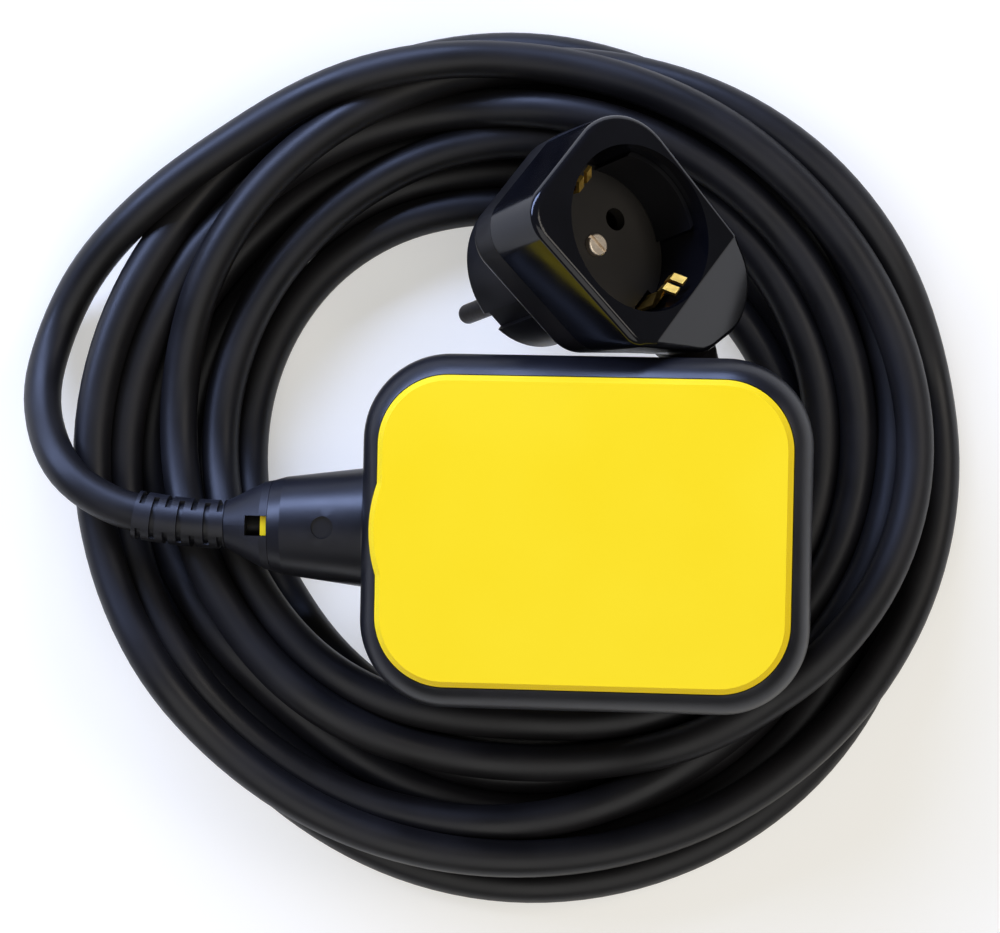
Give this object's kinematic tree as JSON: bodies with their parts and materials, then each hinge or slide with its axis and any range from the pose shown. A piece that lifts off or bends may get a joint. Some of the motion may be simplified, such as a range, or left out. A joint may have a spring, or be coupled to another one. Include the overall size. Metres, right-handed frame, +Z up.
{
  "type": "cable float switch",
  "caption": "Flat float with a tapering neck on a coiled rubber cable that ends in a through-socket mains plug; a ball inside works a switch.",
  "frame": {"origin": "middle of the box round the float, its neck and its bend relief; the floor lies at z = -0.040 m", "axes": "+X along the float from its cable to its nose, +Y across it towards the plug, +Z up, out of the yellow panel that shows"},
  "size_m": [0.2267, 0.212, 0.0735],
  "materials": {
    "black_casing": "fine matt moulded plastic",
    "yellow_panel": "smooth satin moulded plastic",
    "seal_rubber": "soft matt rubber",
    "cable_rubber": "matt rubber with a slight sheen",
    "relief_rubber": "semi-matt elastomer",
    "plug_gloss": "polished black thermoset",
    "plug_rubber": "dull black plastic",
    "socket_floor": "dull dark grey plastic",
    "brass": "bare brass",
    "nickel": "nickel plate",
    "steel": "polished steel",
    "white_plastic": "plain natural plastic",
    "switch_black": "plain thermoset",
    "brown_core": "brown insulation",
    "blue_core": "blue insulation"
  },
  "bodies": {
    "switch": {"upper_casing": "black_casing", "lower_casing": "black_casing", "top_panel": "yellow_panel", "bottom_panel": "yellow_panel", "casing_seal": "seal_rubber", "latch_collar": "yellow_panel", "bend_relief": "relief_rubber", "cable_grommet": "seal_rubber", "cable_jacket_end": "cable_rubber", "switch_carrier": "white_plastic", "carrier_screws": "steel", "cable_clamp": "white_plastic", "clamp_screws": "steel", "ball_race": "white_plastic", "lever_pin": "steel", "microswitch_case": "switch_black", "microswitch_cover": "switch_black", "switch_terminals": "brass", "conductor_brown": "brown_core", "conductor_blue": "blue_core", "socket_shell": "plug_gloss", "plug_shell": "plug_rubber", "socket_insert": "socket_floor", "socket_screw": "nickel", "earth_strap": "brass", "plug_pin_live": "nickel", "plug_pin_neutral": "nickel", "contact_live": "brass", "contact_neutral": "brass", "plug_boot": "plug_rubber", "cable_lead_float": "cable_rubber", "cable_coil": "cable_rubber", "cable_lead_plug": "cable_rubber"},
    "ball": {"steel_ball": "steel"},
    "lever": {"switch_lever": "nickel"},
    "plunger": {"switch_plunger": "white_plastic"}
  },
  "joints": [
    {"name": "ball_roll", "type": "slide", "parent": "switch", "child": "ball", "axis": [0.9952, 0, 0.0976], "range_m": [0, 0.0216]},
    {"name": "lever_press", "type": "hinge", "parent": "switch", "child": "lever", "pos_m": [0.00681, 0, -0.00562], "axis": [0, 1, 0], "range_deg": [0, 3.4]},
    {"name": "plunger_press", "type": "slide", "parent": "switch", "child": "plunger", "axis": [-0.0976, 0, 0.9952], "range_m": [-0.00084, 0]}
  ],
  "couplings": [
    {"joint": "lever_press", "follows": "ball_roll", "rad_per_m": 2.7276},
    {"joint": "plunger_press", "follows": "ball_roll", "ratio": -0.03812}
  ]
}
